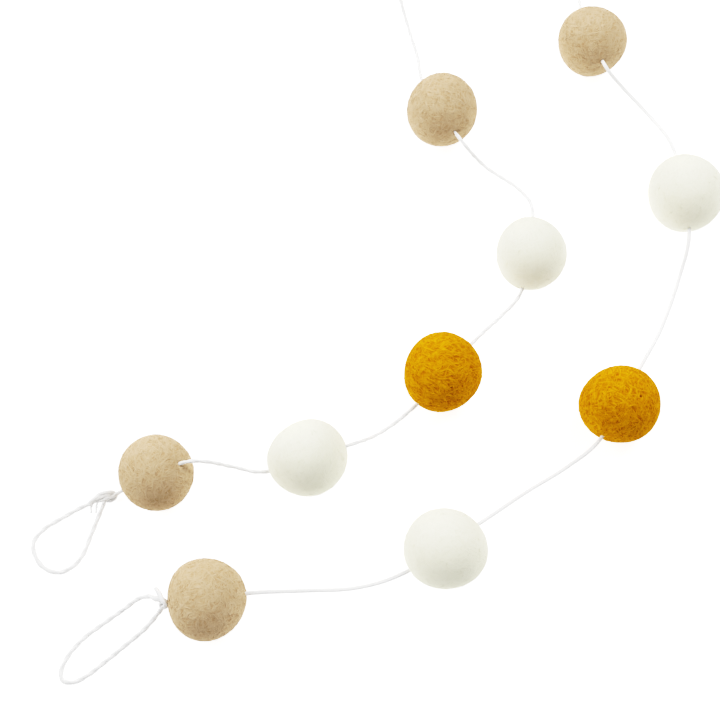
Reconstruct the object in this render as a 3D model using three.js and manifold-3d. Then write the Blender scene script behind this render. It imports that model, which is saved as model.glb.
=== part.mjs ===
// A felt ball garland: thirteen hand-felted wool balls threaded on one thin twisted cotton string,
// which is turned back and knotted into a hanging loop at each end. It lies on a level surface in a
// long bend, with the string sagging from ball to ball.
// Millimetres, +Z up. The origin is on the surface, under the middle of the balls' box.

import * as THREE from 'three';
import { mergeVertices } from 'three/addons/utils/BufferGeometryUtils.js';
import Module from 'manifold-3d';

const wasm = await Module();
wasm.setup();

// The string, and the room round it in the hole that the needle left
const stringAcross = 1.2;
const stringSides = 8;
const stepsFromPointToPoint = 2;
const boreGap = 0.35;

// The balls: facets round and from top to foot, the depth that the felt settles into its flat foot,
// and the height of the soft lumps that hand felting leaves
const ballSides = 24;
const ballRings = 14;
const footDepth = 0.5;
const lumpHeight = 0.08;
const lumpsAcross = 4;

// The knots: a bundle of doubled string with the string wound round it, and the cut tail
const bundleAcross = 2.1;
const bundleSides = 12;
const bundleRings = 8;
const wrapAcross = 1.1;
const wrapBow = 1.0;
const wrapSides = 6;
const wrapSteps = 14;

const materials = {
  tan: new THREE.MeshStandardMaterial({ color: 0xd3bb92, roughness: 0.95, metalness: 0 }),
  white: new THREE.MeshStandardMaterial({ color: 0xecebe2, roughness: 0.95, metalness: 0 }),
  mustard: new THREE.MeshStandardMaterial({ color: 0xdba00e, roughness: 0.95, metalness: 0 }),
  cotton: new THREE.MeshStandardMaterial({ color: 0xf6f6f3, roughness: 0.9, metalness: 0 }),
};

// The balls from loop A along the string to loop B. Each is out of round in its own way: oval is how
// far it bulges two ways, towards ovalTurn and away from it, and corner how far it bulges three ways,
// once towards cornerTurn. Turns are degrees from +X.
// name, felt, x, y, radius, oval, ovalTurn, corner, cornerTurn
const balls = [
  ['ball_a1', 'tan', -90.0, -108.3, 12.15, 0.15, -65, 0.1, -15],
  ['ball_a2', 'white', -41.3, -103.3, 12.65, 0.4, 25, 0.15, -60],
  ['ball_a3', 'mustard', 2.7, -73.9, 13.0, 0.25, 55, 0.15, -5],
  ['ball_a4', 'white', 34.0, -29.9, 12.2, 0.3, 90, 0.15, -15],
  ['ball_a5', 'tan', 4.7, 26.6, 12.75, 0.4, 80, 0.1, -40],
  ['ball_a6', 'white', -10.3, 93.6, 12.6, 0.25, 20, 0.15, 40],
  ['ball_mid', 'mustard', 18.5, 149.4, 12.7, 0.3, -30, 0.15, 10],
  ['ball_b6', 'white', 66.0, 128.0, 12.5, 0.2, 60, 0.2, -20],
  ['ball_b5', 'tan', 59.9, 55.8, 12.4, 0.1, 10, 0.3, 15],
  ['ball_b4', 'white', 88.6, -7.1, 13.2, 0.2, 90, 0.1, 0],
  ['ball_b3', 'mustard', 60.5, -85.1, 12.95, 0.25, 10, 0.25, -55],
  ['ball_b2', 'white', 2.4, -133.5, 12.85, 0.25, -10, 0.1, -10],
  ['ball_b1', 'tan', -72.2, -149.4, 12.55, 0.2, -85, 0.3, 10],
];

// The string's way from knot A through every ball to knot B. The points just outside a ball's holes
// give the run through it, and those between two balls are where the slack string sags.
const stringRoute = [
  // up out of knot A, through ball_a1 and down
  [-104.7, -113.2, 2.3], [-102.6, -112.1, 3.2], [-79.3, -107.6, 21.0], [-73.6, -107.1, 19.8],
  [-65.0, -106.6, 12.6],
  // ball_a2, ball_a3, ball_a4
  [-55.5, -107.5, 10.2], [-28.0, -99.5, 13.4], [-18.6, -93.6, 7.4],
  [-7.7, -85.9, 9.5], [13.8, -63.1, 14.6], [23.6, -51.3, 8.2],
  [30.2, -43.2, 8.6], [34.7, -16.0, 15.6], [31.4, -3.6, 8.6], [19.4, 6.7, 7.6],
  // ball_a5, ball_a6 and round the middle of the garland
  [10.5, 12.9, 15.6], [-1.8, 41.0, 8.4], [-3.4, 54.7, 4.2], [-6.8, 68.0, 4.6],
  [-9.8, 79.0, 9.6], [-8.4, 107.6, 13.4], [-1.6, 124.0, 4.6],
  [8.6, 138.6, 10.4], [31.8, 146.2, 13.4], [43.0, 140.2, 4.8],
  [53.2, 134.4, 10.8], [65.2, 113.4, 13.0], [61.6, 98.0, 4.6], [58.2, 83.0, 4.4],
  // ball_b5, ball_b4, ball_b3
  [57.2, 70.6, 8.8], [63.4, 42.5, 15.8], [70.2, 38.6, 8.6], [80.3, 29.1, 4.0],
  [85.9, 10.0, 12.5], [88.7, -22.3, 11.4], [85.7, -35.4, 4.6], [78.0, -54.5, 5.6],
  [68.5, -71.5, 14.0], [53.0, -97.3, 11.0], [43.2, -104.0, 4.6], [29.6, -112.8, 5.8],
  // ball_b2, ball_b1 and into knot B
  [14.3, -124.9, 13.8], [-10.7, -140.7, 10.2], [-25.5, -144.0, 4.2], [-42.5, -145.3, 5.6],
  [-58.2, -147.6, 12.6], [-84.5, -151.0, 11.6],
];

// The hanging loops, each out of its knot's free end, round on the surface and back to the knot
const loopARoute = [
  [-112.4, -115.4, 1.5], [-116.1, -117.0, 0.8], [-121.8, -120.4, 0.7], [-127.0, -123.9, 0.7],
  [-129.9, -128.0, 0.7], [-129.4, -132.1, 0.7], [-126.1, -136.6, 0.7], [-121.1, -138.2, 0.7],
  [-116.6, -136.1, 0.7], [-113.6, -132.0, 0.7], [-111.9, -126.8, 0.7], [-110.2, -121.5, 0.7],
  [-108.5, -116.6, 1.0],
];
const loopBRoute = [
  [-88.2, -149.2, 12.0], [-90.0, -148.2, 10.6], [-93.8, -148.2, 7.8], [-98.6, -150.6, 4.2],
  [-105.1, -154.5, 1.4], [-111.2, -159.0, 0.7], [-115.7, -164.3, 0.7], [-117.9, -169.6, 0.7],
  [-117.3, -172.4, 0.7], [-114.2, -173.1, 0.7], [-110.0, -171.2, 0.7], [-104.4, -166.8, 0.9],
  [-97.9, -161.8, 2.6], [-91.7, -157.3, 5.6], [-87.0, -152.9, 9.6],
];

// Each knot lies from one end of its bundle to the other. Its wraps are rings of string round the
// bundle, each so far along it and leaning so much, and its tails are the string's cut end. A tail
// starts well inside the bundle.
const knots = [
  {
    name: 'knot_a',
    from: [-111.6, -115.2, 1.9],
    to: [-105.1, -113.4, 2.1],
    wraps: [{ along: 0.22, lean: -32 }, { along: 0.52, lean: 38 }, { along: 0.78, lean: -20 }],
    tailAcross: 0.6,
    tails: [
      [[-110.4, -114.9, 1.9], [-111.2, -115.4, 1.6], [-112.3, -116.9, 0.6], [-112.6, -118.6, 0.5]],
      [[-109.2, -114.6, 1.9], [-109.6, -115.2, 1.6], [-110.2, -116.7, 0.6], [-110.6, -118.4, 0.5]],
    ],
  },
  {
    name: 'knot_b',
    from: [-87.6, -149.8, 11.6],
    to: [-84.9, -150.8, 11.2],
    wraps: [{ along: 0.3, lean: 24 }, { along: 0.62, lean: -28 }],
    tailAcross: 1.0,
    tails: [[[-86.2, -150.0, 12.4], [-86.9, -148.0, 13.2], [-88.2, -146.2, 13.4]]],
  },
];

// A curve through the route's points that is stepped evenly from point to point, so that the short
// bends between the balls get as many steps as the long straight runs through them.
class StringCurve extends THREE.CatmullRomCurve3 {
  getUtoTmapping(share) {
    return share;
  }
}

function roundSection(across, sides) {
  const corners = [];
  for (let i = 0; i < sides; i += 1) {
    const turn = (i / sides) * 2 * Math.PI;
    corners.push(new THREE.Vector2(Math.cos(turn), Math.sin(turn)).multiplyScalar(across / 2));
  }
  return new THREE.Shape(corners);
}

function stringAlong(points, across) {
  return new THREE.ExtrudeGeometry(roundSection(across, stringSides), {
    steps: (points.length - 1) * stepsFromPointToPoint,
    bevelEnabled: false,
    extrudePath: new StringCurve(points),
  });
}

// A geometry as a closed solid that can be joined and cut, and the other way round
function solidOf(geometry) {
  const bare = geometry.clone();
  bare.deleteAttribute('normal');
  bare.deleteAttribute('uv');
  const merged = mergeVertices(bare);
  return new wasm.Manifold(new wasm.Mesh({
    numProp: 3,
    vertProperties: new Float32Array(merged.attributes.position.array),
    triVerts: new Uint32Array(merged.index.array),
  }));
}

function geometryOf(solid) {
  const mesh = solid.getMesh();
  const geometry = new THREE.BufferGeometry();
  geometry.setAttribute('position', new THREE.BufferAttribute(mesh.vertProperties, 3));
  geometry.setIndex(new THREE.BufferAttribute(mesh.triVerts, 1));
  geometry.computeVertexNormals();
  return geometry;
}

// One felted ball, standing on its flat foot. It comes from a sphere with its poles up and down,
// whose points are moved in and out, each in its own direction from the ball's centre.
function feltBall(row, place) {
  const [, , x, y, radius, oval, ovalTurn, corner, cornerTurn] = row;
  const geometry = new THREE.SphereGeometry(1, ballSides, ballRings);
  geometry.rotateX(Math.PI / 2);
  const points = geometry.attributes.position;
  const way = new THREE.Vector3();
  for (let i = 0; i < points.count; i += 1) {
    way.fromBufferAttribute(points, i);
    const level = Math.hypot(way.x, way.y);
    const turn = Math.atan2(way.y, way.x);
    const lumps = Math.sin(lumpsAcross * way.x + place)
      + Math.sin(lumpsAcross * way.y + 2 * place)
      + Math.sin(lumpsAcross * way.z + 3 * place);
    const reach = radius
      + oval * level ** 2 * Math.cos(2 * (turn - THREE.MathUtils.degToRad(ovalTurn)))
      + corner * level ** 3 * Math.cos(3 * (turn - THREE.MathUtils.degToRad(cornerTurn)))
      + lumpHeight * lumps;
    way.multiplyScalar(reach);
    way.z = Math.max(way.z, footDepth - radius);
    points.setXYZ(i, way.x, way.y, way.z);
  }
  geometry.translate(x, y, radius - footDepth);
  return geometry;
}

function knotGeometry(knot) {
  const from = new THREE.Vector3(...knot.from);
  const to = new THREE.Vector3(...knot.to);
  const along = new THREE.Vector3().subVectors(to, from);
  const lieAlong = new THREE.Quaternion().setFromUnitVectors(
    new THREE.Vector3(0, 0, 1),
    along.clone().normalize(),
  );

  const bundle = new THREE.SphereGeometry(1, bundleSides, bundleRings);
  bundle.rotateX(Math.PI / 2);
  bundle.scale(bundleAcross / 2, bundleAcross / 2, along.length() / 2);
  bundle.applyQuaternion(lieAlong);
  bundle.translate(...from.clone().lerp(to, 0.5).toArray());
  let solid = solidOf(bundle);

  for (const wrap of knot.wraps) {
    const ring = new THREE.TorusGeometry(wrapBow, wrapAcross / 2, wrapSides, wrapSteps);
    ring.rotateX(THREE.MathUtils.degToRad(wrap.lean));
    ring.applyQuaternion(lieAlong);
    ring.translate(...from.clone().lerp(to, wrap.along).toArray());
    solid = solid.add(solidOf(ring));
  }
  for (const tail of knot.tails) {
    const points = tail.map((point) => new THREE.Vector3(...point));
    solid = solid.add(solidOf(stringAlong(points, knot.tailAcross)));
  }
  return geometryOf(solid);
}

const garland = new THREE.Group();

function addPiece(name, geometry, material) {
  const mesh = new THREE.Mesh(geometry, material);
  mesh.name = name;
  garland.add(mesh);
}

const vectors = (route) => route.map((point) => new THREE.Vector3(...point));
const stringPoints = vectors(stringRoute);

// The needle's way runs on past both ends of the string, so that it leaves through the last balls.
function beyond(end, before) {
  return end.clone().multiplyScalar(2).sub(before);
}
const needleWay = [
  beyond(stringPoints[0], stringPoints[1]),
  ...stringPoints,
  beyond(stringPoints.at(-1), stringPoints.at(-2)),
];
const needle = solidOf(stringAlong(needleWay, stringAcross + 2 * boreGap));

balls.forEach((row, place) => {
  const [name, felt] = row;
  const bored = solidOf(feltBall(row, place)).subtract(needle);
  addPiece(name, geometryOf(bored), materials[felt]);
});
addPiece('string', stringAlong(stringPoints, stringAcross), materials.cotton);
addPiece('loop_a', stringAlong(vectors(loopARoute), stringAcross), materials.cotton);
addPiece('loop_b', stringAlong(vectors(loopBRoute), stringAcross), materials.cotton);
for (const knot of knots) {
  addPiece(knot.name, knotGeometry(knot), materials.cotton);
}

export default garland;
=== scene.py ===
import math
import random
from collections import namedtuple

import bmesh
import bpy
from mathutils import Euler, Matrix, Vector, noise
from mathutils.geometry import interpolate_bezier


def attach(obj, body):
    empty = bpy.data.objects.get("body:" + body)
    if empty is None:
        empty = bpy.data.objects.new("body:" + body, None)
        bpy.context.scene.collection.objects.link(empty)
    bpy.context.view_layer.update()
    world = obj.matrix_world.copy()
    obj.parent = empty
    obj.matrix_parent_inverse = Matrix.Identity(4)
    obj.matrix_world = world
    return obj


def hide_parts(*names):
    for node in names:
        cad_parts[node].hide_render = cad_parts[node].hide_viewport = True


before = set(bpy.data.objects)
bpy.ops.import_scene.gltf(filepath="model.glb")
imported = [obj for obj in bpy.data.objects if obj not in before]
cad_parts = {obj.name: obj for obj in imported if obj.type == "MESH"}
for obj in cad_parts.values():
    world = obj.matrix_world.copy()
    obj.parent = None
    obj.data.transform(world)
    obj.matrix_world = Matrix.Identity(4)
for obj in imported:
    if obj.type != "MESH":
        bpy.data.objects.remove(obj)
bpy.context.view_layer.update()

# The camera
# It looks down on the garland from the side of its two hanging loops, 22 degrees off the plumb line.
MM = 0.001
aim = Vector((-24.5, -69.5, 12.5)) * MM
camera_reach = 477.9 * MM
camera_tilt = math.radians(22)

camera_data = bpy.data.cameras.new("camera")
camera_data.angle = math.radians(28)
camera = bpy.data.objects.new("camera", camera_data)
camera.rotation_euler = (camera_tilt, 0, 0)
camera.location = aim + Vector((0, -math.sin(camera_tilt), math.cos(camera_tilt))) * camera_reach
bpy.context.collection.objects.link(camera)
bpy.context.scene.camera = camera

# The cotton string and its two hanging loops
# One soft white twine of two loosely twisted cotton plies, a metre long with its loops. A needle drew
# it through every ball, and between them it sags to the table.
string_across = 0.0012
ply_across = 0.84 * string_across
ply_from_middle = 0.13 * string_across
string_turn = 0.0086

# How closely the twine's shape follows its route, and the step of the even path points worked out from
# each route below
string_step = 0.0004
path_step = 0.002
steps_to_next_point = 25
section_corners = 16

string_route = [
    (-0.1047, -0.1132, 0.0023), (-0.1026, -0.1121, 0.0032), (-0.0793, -0.1076, 0.0210),
    (-0.0736, -0.1071, 0.0198), (-0.0650, -0.1066, 0.0126), (-0.0555, -0.1075, 0.0102),
    (-0.0280, -0.0995, 0.0134), (-0.0186, -0.0936, 0.0074), (-0.0077, -0.0859, 0.0095),
    (0.0138, -0.0631, 0.0146), (0.0236, -0.0513, 0.0082), (0.0302, -0.0432, 0.0086),
    (0.0347, -0.0160, 0.0156), (0.0314, -0.0036, 0.0086), (0.0194, 0.0067, 0.0076),
    (0.0105, 0.0129, 0.0156), (-0.0018, 0.0410, 0.0084), (-0.0034, 0.0547, 0.0042),
    (-0.0068, 0.0680, 0.0046), (-0.0098, 0.0790, 0.0096), (-0.0084, 0.1076, 0.0134),
    (-0.0016, 0.1240, 0.0046), (0.0086, 0.1386, 0.0104), (0.0318, 0.1462, 0.0134),
    (0.0430, 0.1402, 0.0048), (0.0532, 0.1344, 0.0108), (0.0652, 0.1134, 0.0130),
    (0.0616, 0.0980, 0.0046), (0.0582, 0.0830, 0.0044), (0.0572, 0.0706, 0.0088),
    (0.0634, 0.0425, 0.0158), (0.0702, 0.0386, 0.0086), (0.0803, 0.0291, 0.0040),
    (0.0859, 0.0100, 0.0125), (0.0887, -0.0223, 0.0114), (0.0857, -0.0354, 0.0046),
    (0.0780, -0.0545, 0.0056), (0.0685, -0.0715, 0.0140), (0.0530, -0.0973, 0.0110),
    (0.0432, -0.1040, 0.0046), (0.0296, -0.1128, 0.0058), (0.0143, -0.1249, 0.0138),
    (-0.0107, -0.1407, 0.0102), (-0.0255, -0.1440, 0.0042), (-0.0425, -0.1453, 0.0056),
    (-0.0582, -0.1476, 0.0126), (-0.0845, -0.1510, 0.0116),
]
loop_a_route = [
    (-0.1124, -0.1154, 0.0015), (-0.1161, -0.1170, 0.0008), (-0.1218, -0.1204, 0.0007),
    (-0.1270, -0.1239, 0.0007), (-0.1299, -0.1280, 0.0007), (-0.1294, -0.1321, 0.0007),
    (-0.1261, -0.1366, 0.0007), (-0.1211, -0.1382, 0.0007), (-0.1166, -0.1361, 0.0007),
    (-0.1136, -0.1320, 0.0007), (-0.1119, -0.1268, 0.0007), (-0.1102, -0.1215, 0.0007),
    (-0.1085, -0.1166, 0.0010),
]
loop_b_route = [
    (-0.0882, -0.1492, 0.0120), (-0.0900, -0.1482, 0.0106), (-0.0938, -0.1482, 0.0078),
    (-0.0986, -0.1506, 0.0042), (-0.1051, -0.1545, 0.0014), (-0.1112, -0.1590, 0.0007),
    (-0.1157, -0.1643, 0.0007), (-0.1179, -0.1696, 0.0007), (-0.1173, -0.1724, 0.0007),
    (-0.1142, -0.1731, 0.0007), (-0.1100, -0.1712, 0.0007), (-0.1044, -0.1668, 0.0009),
    (-0.0979, -0.1618, 0.0026), (-0.0917, -0.1573, 0.0056), (-0.0870, -0.1529, 0.0096),
]


def smooth_run(route):
    """The points of one smooth curve through a route's points, as the solid string's curve runs."""
    stops = [Vector(stop) for stop in route]
    stops = [2 * stops[0] - stops[1], *stops, 2 * stops[-1] - stops[-2]]
    run = [stops[1]]
    for a, b, c, d in zip(stops, stops[1:], stops[2:], stops[3:]):
        ab, bc, cd = (math.sqrt((q - p).length) for p, q in ((a, b), (b, c), (c, d)))
        leaving = ((b - a) / ab - (c - a) / (ab + bc) + (c - b) / bc) * bc
        arriving = ((c - b) / bc - (d - b) / (bc + cd) + (d - c) / cd) * bc
        run += interpolate_bezier(b, b + leaving / 3, c - arriving / 3, c, steps_to_next_point)[1:]
    return run


def evenly(run, step):
    """The same run as points about one step apart, both its ends kept."""
    lengths = [(q - p).length for p, q in zip(run, run[1:])]
    count = max(2, round(sum(lengths) / step))
    step = sum(lengths) / count
    points, walked, i = [run[0]], 0.0, 0
    for k in range(1, count):
        while walked + lengths[i] < k * step:
            walked += lengths[i]
            i += 1
        points.append(run[i].lerp(run[i + 1], (k * step - walked) / lengths[i]))
    return [*points, run[-1]]


def drawn_along(name, section, courses):
    """One mesh of closed tubes, the section drawn along each course of (point, turn, width).

    What would reach under the table lies flat on it instead.
    """
    outline = bpy.data.curves.new("section", "CURVE")
    edge = outline.splines.new("POLY")
    edge.points.add(len(section) - 1)
    edge.use_cyclic_u = True
    for corner, (x, y) in zip(edge.points, section):
        corner.co = (x, y, 0, 1)
    outline_object = bpy.data.objects.new("section", outline)
    lines = bpy.data.curves.new(name, "CURVE")
    lines.dimensions = "3D"
    lines.bevel_mode = "OBJECT"
    lines.bevel_object = outline_object
    lines.use_fill_caps = True
    for course in courses:
        line = lines.splines.new("POLY")
        line.points.add(len(course) - 1)
        for point, (at, turn, width) in zip(line.points, course):
            point.co = (*at, 1)
            point.tilt = turn
            point.radius = width
    drawn = bpy.data.objects.new(name, lines)
    bpy.context.collection.objects.link(drawn)
    shown = drawn.evaluated_get(bpy.context.evaluated_depsgraph_get())
    mesh = bpy.data.meshes.new_from_object(shown)
    for left_over in (drawn, outline_object):
        bpy.data.objects.remove(left_over)
    bm = bmesh.new()
    bm.from_mesh(mesh)
    bmesh.ops.remove_doubles(bm, verts=bm.verts, dist=1e-7)
    bmesh.ops.recalc_face_normals(bm, faces=bm.faces)
    for vert in bm.verts:
        vert.co.z = max(vert.co.z, 0)
    for face in bm.faces:
        face.smooth = True
    bm.to_mesh(mesh)
    bm.free()
    mesh.name = name
    piece = bpy.data.objects.new(name, mesh)
    bpy.context.collection.objects.link(piece)
    return piece


def two_plies():
    """The outline of two round plies side by side, from the twine's middle."""
    corners = []
    for k in range(section_corners):
        turn = math.tau * k / section_corners
        reach = ply_from_middle * abs(math.cos(turn))
        reach += math.sqrt((ply_across / 2) ** 2 - (ply_from_middle * math.sin(turn)) ** 2)
        corners.append((reach * math.cos(turn), reach * math.sin(turn)))
    return corners


def twine_course(route, width=1.0):
    """A route's even points, each with the twist that the plies have reached there."""
    run = evenly(smooth_run(route), string_step)
    return [(at, math.tau * k * string_step / string_turn, width) for k, at in enumerate(run)]


def linear(colour):
    """An sRGB hex colour as the linear colour that a shader takes."""
    parts = [int(colour[k:k + 2], 16) / 255 for k in (1, 3, 5)]
    return tuple(c / 12.92 if c <= 0.04045 else ((c + 0.055) / 1.055) ** 2.4 for c in parts) + (1,)


def add_node(tree, kind, inputs=None, **settings):
    """One node with its settings, its sockets' values and the links into them."""
    node = tree.nodes.new(kind)
    for setting, value in settings.items():
        setattr(node, setting, value)
    for socket, value in (inputs or {}).items():
        if isinstance(value, bpy.types.NodeSocket):
            tree.links.new(value, node.inputs[socket])
        else:
            node.inputs[socket].default_value = value
    return node


# Soft cotton twine, bleached and loosely spun: matt white, with faint short shadows between its fibres
cotton = bpy.data.materials.new("bleached cotton twine")
cotton.use_nodes = True
tree = cotton.node_tree
tree.nodes.clear()
place = add_node(tree, "ShaderNodeTexCoord").outputs["Object"]
spun = add_node(tree, "ShaderNodeTexNoise",
                {"Vector": place, "Scale": 1 / (0.5 * MM), "Detail": 2.0, "Roughness": 0.5})
shade = add_node(tree, "ShaderNodeValToRGB", {"Fac": spun.outputs["Fac"]})
shade.color_ramp.elements[0].position = 0.3
shade.color_ramp.elements[0].color = linear("#f2f2f1")
shade.color_ramp.elements[1].position = 0.7
shade.color_ramp.elements[1].color = linear("#f9f9f9")
fine = add_node(tree, "ShaderNodeBump",
                {"Height": spun.outputs["Fac"], "Strength": 0.3, "Distance": 0.06 * MM})
surface = add_node(tree, "ShaderNodeBsdfPrincipled",
                   {"Base Color": shade.outputs["Color"], "Normal": fine.outputs["Normal"],
                    "Roughness": 0.95, "Specular IOR Level": 0.03})
add_node(tree, "ShaderNodeOutputMaterial", {"Surface": surface.outputs["BSDF"]})

for name, node, route, width in (
    ("string_twine", "string", string_route, 0.94),
    ("loop_a_twine", "loop_a", loop_a_route, 1.16),
    ("loop_b_twine", "loop_b", loop_b_route, 1.16),
):
    twine = drawn_along(name, two_plies(), [twine_course(route, width)])
    twine.data.materials.append(cotton)
    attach(twine, "root")
    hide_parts(node)

# The knots
# The twine's two ends, each turned back and tied round itself. In knot A the loop's leg comes over the
# top, turns down at the ball's end and tucks in underneath; its cut end has come apart into two plies.
# Each strand is (how far its twist has opened, its route).
knot_a_strands = [
    (1.30, [(-0.1129, -0.1158, 0.0013), (-0.1115, -0.1145, 0.0020), (-0.1096, -0.1131, 0.0025),
            (-0.1077, -0.1124, 0.0028), (-0.1060, -0.1122, 0.0026), (-0.1048, -0.1125, 0.0021),
            (-0.1045, -0.1133, 0.0017), (-0.1052, -0.1140, 0.0011), (-0.1060, -0.1143, 0.0009),
            (-0.1073, -0.1141, 0.0009), (-0.1087, -0.1140, 0.0010)]),
    (1.25, [(-0.1122, -0.1152, 0.0014), (-0.1101, -0.1140, 0.0021), (-0.1083, -0.1133, 0.0024),
            (-0.1067, -0.1131, 0.0024), (-0.1054, -0.1134, 0.0020)]),
    (1.05, [(-0.1040, -0.1130, 0.0025), (-0.1055, -0.1135, 0.0023), (-0.1070, -0.1140, 0.0021),
            (-0.1085, -0.1144, 0.0017), (-0.1099, -0.1146, 0.0014), (-0.1109, -0.1146, 0.0012)]),
    (1.00, [(-0.1085, -0.1166, 0.0010), (-0.1075, -0.1143, 0.0015), (-0.1067, -0.1136, 0.0018),
            (-0.1060, -0.1128, 0.0016)]),
]
knot_a_plies = [
    [(-0.1105, -0.1145, 0.0016), (-0.1112, -0.1149, 0.0014), (-0.1118, -0.1155, 0.0009),
     (-0.1122, -0.1165, 0.0005), (-0.1121, -0.1184, 0.0004)],
    [(-0.1092, -0.1143, 0.0014), (-0.1100, -0.1149, 0.0012), (-0.1104, -0.1156, 0.0008),
     (-0.1105, -0.1166, 0.0005), (-0.1105, -0.1184, 0.0004)],
]
knot_b_strands = [
    (1.35, [(-0.0882, -0.1492, 0.0120), (-0.0870, -0.1495, 0.0126), (-0.0857, -0.1499, 0.0129),
            (-0.0848, -0.1506, 0.0126), (-0.0848, -0.1513, 0.0116), (-0.0857, -0.1515, 0.0108),
            (-0.0863, -0.1509, 0.0110), (-0.0860, -0.1501, 0.0118), (-0.0850, -0.1503, 0.0122)]),
    (1.10, [(-0.0870, -0.1529, 0.0096), (-0.0861, -0.1519, 0.0106), (-0.0852, -0.1511, 0.0114),
            (-0.0845, -0.1509, 0.0116)]),
    (1.15, [(-0.0840, -0.1511, 0.0134), (-0.0848, -0.1507, 0.0140), (-0.0858, -0.1496, 0.0140),
            (-0.0868, -0.1479, 0.0136), (-0.0880, -0.1462, 0.0130)]),
]
ply_width = 0.50

for name, node, strands, plies in (
    ("knot_a_twine", "knot_a", knot_a_strands, knot_a_plies),
    ("knot_b_twine", "knot_b", knot_b_strands, []),
):
    courses = [twine_course(strand, width) for width, strand in strands]
    courses += [twine_course(ply, ply_width) for ply in plies]
    knot = drawn_along(name, two_plies(), courses)
    knot.data.materials.append(cotton)
    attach(knot, "root")
    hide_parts(node)

# Cotton fuzz
# Short ends of cotton fibre that stand out of the twine all along it. A real fibre is a fiftieth of a
# millimetre thick; these are twice that, so that they show.
fuzz_across = 0.04 * MM
fuzz_root = 0.30 * MM
fuzz_per_metre = 3200
chance = random.Random(4)


def three_sided(across):
    """The outline of a fibre, a triangle that costs few faces."""
    return [(across / 2 * math.cos(math.tau * k / 3), across / 2 * math.sin(math.tau * k / 3))
            for k in range(3)]


def fuzz_courses(route):
    """Fibre ends that leave a stretch of twine on all sides, most of them lying along it."""
    run = evenly(smooth_run(route), string_step)
    found = []
    for _ in range(int(fuzz_per_metre * string_step * len(run))):
        k = chance.randrange(len(run) - 1)
        ahead = (run[k + 1] - run[k]).normalized() * chance.choice((-1, 1))
        aside = ahead.orthogonal().normalized()
        aside = Matrix.Rotation(chance.uniform(0, math.tau), 3, ahead) @ aside
        over = ahead.cross(aside) * chance.uniform(-0.6, 0.6)
        length = chance.uniform(0.5, 1.7) * MM
        stands = chance.uniform(0.15, 0.75) * MM
        course = []
        for share in (0, 0.35, 0.7, 1):
            at = run[k] + aside * (fuzz_root + stands * share) + ahead * length * share
            at = at + over * (length * share ** 2)
            at.z = max(at.z, fuzz_across)
            course.append((at, 0, 1 - 0.6 * share))
        found.append(course)
    return found


fuzz_lines = [course for route in (string_route, loop_a_route, loop_b_route)
              for course in fuzz_courses(route)]
fuzz_lines += [course for _, strand in (*knot_a_strands, *knot_b_strands)
               for course in fuzz_courses(strand)]
fuzz = drawn_along("twine_fuzz", three_sided(fuzz_across), fuzz_lines)
fuzz.data.materials.append(cotton)
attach(fuzz, "root")

evenly(smooth_run(string_route), path_step)
evenly(smooth_run(loop_a_route), path_step)
evenly(smooth_run(loop_b_route), path_step)

# The felt balls
# Thirteen balls rolled by hand out of wet wool until it felts, so each is a little out of round. Each
# is solid wool, drawn in where the needle took the string through, and rests on a small flat spot.
Ball = namedtuple("Ball", "name felt x y radius oval oval_turn corner corner_turn")
balls = [Ball(*row) for row in (
    ("ball_a1", "tan", -0.0900, -0.1083, 0.01215, 0.00015, -65, 0.00010, -15),
    ("ball_a2", "white", -0.0413, -0.1033, 0.01265, 0.00040, 25, 0.00015, -60),
    ("ball_a3", "mustard", 0.0027, -0.0739, 0.01300, 0.00025, 55, 0.00015, -5),
    ("ball_a4", "white", 0.0340, -0.0299, 0.01220, 0.00030, 90, 0.00015, -15),
    ("ball_a5", "tan", 0.0047, 0.0266, 0.01275, 0.00040, 80, 0.00010, -40),
    ("ball_a6", "white", -0.0103, 0.0936, 0.01260, 0.00025, 20, 0.00015, 40),
    ("ball_mid", "mustard", 0.0185, 0.1494, 0.01270, 0.00030, -30, 0.00015, 10),
    ("ball_b6", "white", 0.0660, 0.1280, 0.01250, 0.00020, 60, 0.00020, -20),
    ("ball_b5", "tan", 0.0599, 0.0558, 0.01240, 0.00010, 10, 0.00030, 15),
    ("ball_b4", "white", 0.0886, -0.0071, 0.01320, 0.00020, 90, 0.00010, 0),
    ("ball_b3", "mustard", 0.0605, -0.0851, 0.01295, 0.00025, 10, 0.00025, -55),
    ("ball_b2", "white", 0.0024, -0.1335, 0.01285, 0.00025, -10, 0.00010, -10),
    ("ball_b1", "tan", -0.0722, -0.1494, 0.01255, 0.00020, -85, 0.00030, 10),
)]
foot_depth = 0.0005
lump_height = 0.00008
lumps_across = 4
clump_size = 2.8 * MM
clump_height = 0.07 * MM
ball_finish = 6
wool_radius = 12.5 * MM


def middle_of(ball):
    """The ball's middle, as high as its flat spot leaves it."""
    return Vector((ball.x, ball.y, ball.radius - foot_depth))


def felt_reach(ball, way):
    """How far the felt reaches from the ball's middle, as in the solids, with finer clumps of wool."""
    level = math.hypot(way.x, way.y)
    turn = math.atan2(way.y, way.x)
    number = balls.index(ball)
    lumps = (math.sin(lumps_across * way.x + number) + math.sin(lumps_across * way.y + 2 * number)
             + math.sin(lumps_across * way.z + 3 * number))
    at = middle_of(ball) + way * ball.radius
    return (ball.radius
            + ball.oval * level ** 2 * math.cos(2 * (turn - math.radians(ball.oval_turn)))
            + ball.corner * level ** 3 * math.cos(3 * (turn - math.radians(ball.corner_turn)))
            + lump_height * lumps
            + clump_height * noise.noise(at / clump_size))


def felt_point(ball, way, lift=0.0):
    """A point on the ball, or a little over or under its felt, and never under the table."""
    at = middle_of(ball) + way * (felt_reach(ball, way) + lift)
    at.z = max(at.z, 0)
    return at


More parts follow.
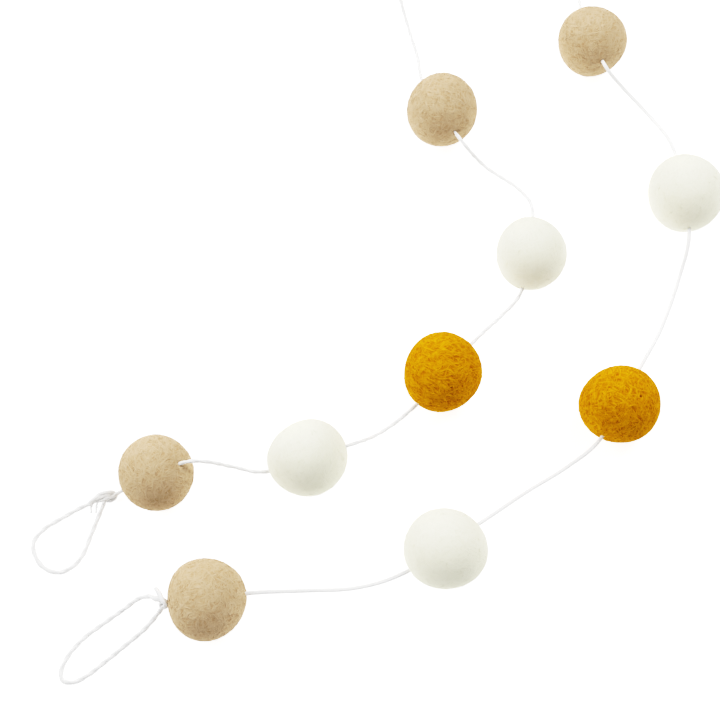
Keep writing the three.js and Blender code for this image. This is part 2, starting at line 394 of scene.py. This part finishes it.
def string_holes(ball):
    """The ways from the ball's middle to where the string goes in and comes out."""
    middle = middle_of(ball)
    run = evenly(smooth_run(string_route), string_step)
    inside = [(at - middle).length < ball.radius for at in run]
    crossed = [k for k in range(1, len(run)) if inside[k] != inside[k - 1]]
    return [(run[k] - middle).normalized() for k in crossed]


# How wide and deep the string and the felting needle draw the felt in, and how steep a dent's side
# is. Out to a few widths round each dent the skin has finer faces.
hole_wide, hole_deep = 1.3 * MM, 0.9 * MM
prick_wide, prick_deep = 0.42 * MM, 0.75 * MM
dent_side = 1.6
fine_widths = 2.2

# The needle's pricks that show, each as a way from its ball's middle
needle_pricks = {
    "ball_b3": [(0.36, -0.14, 0.92)],
    "ball_a3": [(0.17, -0.69, 0.70)],
}


def drawn_in(ball):
    """Every dent in the ball, from the string and from the felting needle."""
    dents = [(way, hole_wide, hole_deep) for way in string_holes(ball)]
    for way in needle_pricks.get(ball.name, []):
        dents.append((Vector(way).normalized(), prick_wide, prick_deep))
    return dents


def felt_mesh(ball):
    """The ball's skin. Each point keeps its place in the wool, which lies differently in every ball."""
    number = balls.index(ball)
    wool_turn = Euler((1.3 * number, 2.1 * number, 0.7 * number)).to_matrix()
    bm = bmesh.new()
    bmesh.ops.create_icosphere(bm, subdivisions=ball_finish, radius=1.0)
    dents = drawn_in(ball)
    for way, wide, _ in dents:
        close = [edge for edge in bm.edges
                 if (edge.verts[0].co - way).length * ball.radius < fine_widths * wide]
        bmesh.ops.subdivide_edges(bm, edges=close, cuts=2 if wide == hole_wide else 4)
    bmesh.ops.triangulate(bm, faces=bm.faces)
    wool_place = bm.verts.layers.float_vector.new("wool_place")
    for vert in bm.verts:
        way = vert.co.normalized()
        vert[wool_place] = wool_turn @ way * wool_radius
        lift = 0.0
        for dent, wide, deep in dents:
            off = (way - dent).length * ball.radius / wide
            lift -= deep * math.exp(-(dent_side * off) ** 2)
        vert.co = felt_point(ball, way, lift)
    bmesh.ops.recalc_face_normals(bm, faces=bm.faces)
    for face in bm.faces:
        face.smooth = True
    mesh = bpy.data.meshes.new(ball.name + "_felt")
    bm.to_mesh(mesh)
    bm.free()
    return mesh


def wool_lay(tree, place, turn, number):
    """The height of one lay of wool: thin curved fibres that run round an axis turned in the ball."""
    turned = add_node(tree, "ShaderNodeMapping", {"Vector": place, "Rotation": turn}).outputs["Vector"]
    up = add_node(tree, "ShaderNodeSeparateXYZ", {"Vector": turned}).outputs["Z"]
    level = add_node(tree, "ShaderNodeVectorMath", {0: turned, 1: (1, 1, 0)}, operation="MULTIPLY")
    out = add_node(tree, "ShaderNodeVectorMath", {0: level.outputs["Vector"]}, operation="LENGTH")
    angle = add_node(tree, "ShaderNodeMath", {0: out.outputs["Value"], 1: up}, operation="ARCTAN2")
    across = add_node(tree, "ShaderNodeMath",
                      {0: angle.outputs["Value"], 1: wool_radius, 2: lay_apart * number},
                      operation="MULTIPLY_ADD")
    across = add_node(tree, "ShaderNodeCombineXYZ", {"Z": across.outputs["Value"]})
    way = add_node(tree, "ShaderNodeVectorMath", {0: level.outputs["Vector"]}, operation="NORMALIZE")
    along = add_node(tree, "ShaderNodeVectorMath",
                     {0: way.outputs["Vector"], "Scale": wool_radius * fibre_stretch},
                     operation="SCALE")
    along = add_node(tree, "ShaderNodeVectorMath",
                     {0: along.outputs["Vector"], 1: across.outputs["Vector"]})
    fibre = add_node(tree, "ShaderNodeTexNoise",
                     {"Vector": along.outputs["Vector"], "Scale": 1 / fibre_apart, "Detail": 2.0,
                      "Roughness": 0.55})
    fibre = add_node(tree, "ShaderNodeMapRange",
                     {"Value": fibre.outputs["Fac"], "From Min": 0.25, "From Max": 0.75})
    return fibre.outputs["Result"]


def plain_wool(name, colour, bloom):
    """A material of plain matt wool with the soft bloom of many fibre ends, and its surface node."""
    material = bpy.data.materials.new(name)
    material.use_nodes = True
    tree = material.node_tree
    tree.nodes.clear()
    surface = add_node(tree, "ShaderNodeBsdfPrincipled",
                       {"Base Color": linear(colour), "Roughness": 0.95, "Specular IOR Level": 0.03,
                        "Sheen Weight": bloom, "Sheen Roughness": 0.5, "Sheen Tint": linear(colour)})
    add_node(tree, "ShaderNodeOutputMaterial", {"Surface": surface.outputs["BSDF"]})
    return material, surface


def wool_felt(name, deep, mid, light, relief, bloom):
    """Matted wool: lays of thin curved fibres that cross, with shade painted between them."""
    felt, surface = plain_wool(name, light, bloom)
    tree = felt.node_tree
    place = add_node(tree, "ShaderNodeAttribute", attribute_name="wool_place").outputs["Vector"]

    # Rolling the ball has drawn the fibres into swirls
    swirl = add_node(tree, "ShaderNodeTexNoise",
                     {"Vector": place, "Scale": 1 / swirl_size, "Detail": 1.0})
    swirl = add_node(tree, "ShaderNodeVectorMath",
                     {0: swirl.outputs["Color"], 1: (0.5, 0.5, 0.5)}, operation="SUBTRACT")
    swirl = add_node(tree, "ShaderNodeVectorMath",
                     {0: swirl.outputs["Vector"], "Scale": swirl_reach}, operation="SCALE")
    bent = add_node(tree, "ShaderNodeVectorMath", {0: place, 1: swirl.outputs["Vector"]})

    # The highest fibre of all the lays is the one that shows
    top = None
    for number, turn in enumerate(lay_turns):
        lay = wool_lay(tree, bent.outputs["Vector"], turn, number)
        if top is None:
            top = lay
        else:
            top = add_node(tree, "ShaderNodeMath", {0: top, 1: lay}, operation="MAXIMUM").outputs[0]

    bump = add_node(tree, "ShaderNodeBump", {"Height": top, "Strength": 0.8, "Distance": relief})
    # Painted shade: the colour is deep where the fibres lie low between others and light on the highest
    # fibres
    shade = add_node(tree, "ShaderNodeValToRGB", {"Fac": top})
    shade.color_ramp.elements[0].position = 0.45
    shade.color_ramp.elements[0].color = linear(deep)
    shade.color_ramp.elements[1].position = 0.85
    shade.color_ramp.elements[1].color = linear(light)
    shade.color_ramp.elements.new(0.65).color = linear(mid)
    tree.links.new(shade.outputs["Color"], surface.inputs["Base Color"])
    tree.links.new(bump.outputs["Normal"], surface.inputs["Normal"])
    return felt


# How large the swirls are and how far they push the fibres. A fibre drawn here is as coarse as ten
# real ones, so that it shows, and each lay's axis is turned another way.
swirl_size, swirl_reach = 5 * MM, 3 * MM
fibre_apart = 0.52 * MM
fibre_stretch = 0.12
lay_apart = 30 * MM
lay_turns = [(0.3, 0.2, 0.0), (1.7, 0.4, 0.6), (0.5, 1.6, 1.9), (2.3, 0.9, 0.2), (0.9, 2.6, 1.1)]
# Each felt: its painted shade between the fibres, the colours of its middle and highest fibres, the
# bump's depth and its sheen
felts = {
    # undyed wool, washed and bleached
    "white": wool_felt("white wool felt", "#e9e8d6", "#eeedda", "#efeedd", 0.13 * MM, 0.05),
    # wool of a fawn sheep, or dyed to that colour
    "tan": wool_felt("tan wool felt", "#b9a084", "#c5b195", "#cab79e", 0.36 * MM, 0.44),
    # wool dyed mustard
    "mustard": wool_felt("mustard wool felt", "#ab7308", "#c8930b", "#d5a212", 0.56 * MM, 0.30),
}

for ball in balls:
    felt_ball = bpy.data.objects.new(ball.name + "_felt", felt_mesh(ball))
    bpy.context.collection.objects.link(felt_ball)
    felt_ball.data.materials.append(felts[ball.felt])
    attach(felt_ball, "root")
    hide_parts(ball.name)

# Loose wool on the balls
# Locks that the felting has not pulled in lie in bows over the surface, and a few fibre ends stand
# out of it. They are thicker than a wool fibre, which is a thirtieth of a millimetre, so they show.
lock_across = 0.13 * MM
lock_sunk, end_sunk = 0.06 * MM, 0.05 * MM
lowest_wool = 0.05 * MM
share_drawn = 1.0


def wool_course(ball, length, sunk, rise, width, stops=6):
    """One fibre over the ball: it starts under the felt and bends as it goes."""
    way = Vector([chance.gauss(0, 1) for _ in range(3)]).normalized()
    heading = way.orthogonal().normalized()
    heading = Matrix.Rotation(chance.uniform(0, math.tau), 3, way) @ heading
    bend = chance.uniform(-0.45, 0.45)
    course = []
    for k in range(stops):
        lift = rise(k / (stops - 1)) - sunk
        at = felt_point(ball, way, lift)
        at.z = max(at.z, lowest_wool)
        course.append((at, 0, width * (1 - 0.7 * abs(2 * k / (stops - 1) - 1))))
        way = (way * ball.radius + heading * length / stops).normalized()
        heading = (heading - way * heading.dot(way)).normalized()
        heading = Matrix.Rotation(bend + chance.uniform(-0.2, 0.2), 3, way) @ heading
    return course


# felt, colour of its single fibres, their bloom, locks on a ball, fibre ends on a ball
for felt, colour, bloom, locks_on_ball, ends_on_ball in (
    ("white", "#eeedda", 0.05, 110, 100),
    ("tan", "#c5b094", 0.44, 420, 160),
    ("mustard", "#cf9b0e", 0.30, 420, 160),
):
    locks = []
    for ball in [each for each in balls if each.felt == felt]:
        for _ in range(round(locks_on_ball * share_drawn)):
            proud = chance.uniform(0.02, 0.07) * MM
            locks.append(wool_course(ball, chance.uniform(1.5, 4.5) * MM, lock_sunk,
                                     lambda share: (lock_sunk + proud) * math.sin(math.pi * share),
                                     chance.uniform(0.6, 1.2)))
        for _ in range(round(ends_on_ball * share_drawn)):
            stands = chance.uniform(0.10, 0.45) * MM
            locks.append(wool_course(ball, chance.uniform(0.6, 1.6) * MM, end_sunk,
                                     lambda share: stands * share ** 1.5, 0.35))
    loose = drawn_along(felt + "_loose_wool", three_sided(lock_across), locks)
    loose_wool, _ = plain_wool(felt + " loose wool", colour, bloom)
    loose.data.materials.append(loose_wool)
    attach(loose, "root")

# The table and the studio light
# A plain white sheet, lit from under so that it stays pure white round the balls, and two large soft
# windows in a white room: one to the left and one further back to the right.
sheet_glow = 0.95
sheet_white = (0.5, 0.5, 0.5, 1)
sheet_half_width = 30.0
room_light = 0.23
window_away = 1.2
window_across = 0.8

table = bpy.data.materials.new("lit white sheet")
table.use_nodes = True
tree = table.node_tree
tree.nodes.clear()
glow = add_node(tree, "ShaderNodeEmission", {"Strength": sheet_glow})
matt = add_node(tree, "ShaderNodeBsdfDiffuse", {"Color": sheet_white})
both = add_node(tree, "ShaderNodeAddShader", {0: glow.outputs[0], 1: matt.outputs[0]})
add_node(tree, "ShaderNodeOutputMaterial", {"Surface": both.outputs[0]})

bm = bmesh.new()
bmesh.ops.create_grid(bm, x_segments=1, y_segments=1, size=sheet_half_width)
floor_mesh = bpy.data.meshes.new("floor")
bm.to_mesh(floor_mesh)
bm.free()
floor = bpy.data.objects.new("floor", floor_mesh)
floor.data.materials.append(table)
bpy.context.collection.objects.link(floor)

world = bpy.data.worlds.new("studio")
world.use_nodes = True
world.node_tree.nodes["Background"].inputs["Color"].default_value = (1, 1, 1, 1)
world.node_tree.nodes["Background"].inputs["Strength"].default_value = room_light
bpy.context.scene.world = world

for name, level_way, rise, watts in (
    ("left window", 165, 40, 8.7),
    ("back window", 40, 55, 9.3),
):
    turn = Euler((0, math.radians(90 - rise), math.radians(level_way)))
    window = bpy.data.lights.new(name, "AREA")
    window.shape = "DISK"
    window.size = window_across
    window.energy = watts
    window_object = bpy.data.objects.new(name, window)
    window_object.location = aim + turn.to_matrix() @ Vector((0, 0, window_away))
    window_object.rotation_euler = turn
    bpy.context.collection.objects.link(window_object)

# The photograph's own tones: it is exposed for the white sheet and printed with deep shades
exposed_for = 1.2
tones = [(0.1, 0.045), (0.2, 0.175), (0.3, 0.34), (0.4, 0.50), (0.55, 0.67), (0.75, 0.82), (1.0, 0.92)]
view = bpy.context.scene.view_settings
view.view_transform = "Standard"
view.use_curve_mapping = True
view.curve_mapping.white_level = (exposed_for, exposed_for, exposed_for)
for light, shown in tones:
    view.curve_mapping.curves[3].points.new(light / exposed_for, shown)
view.curve_mapping.update()
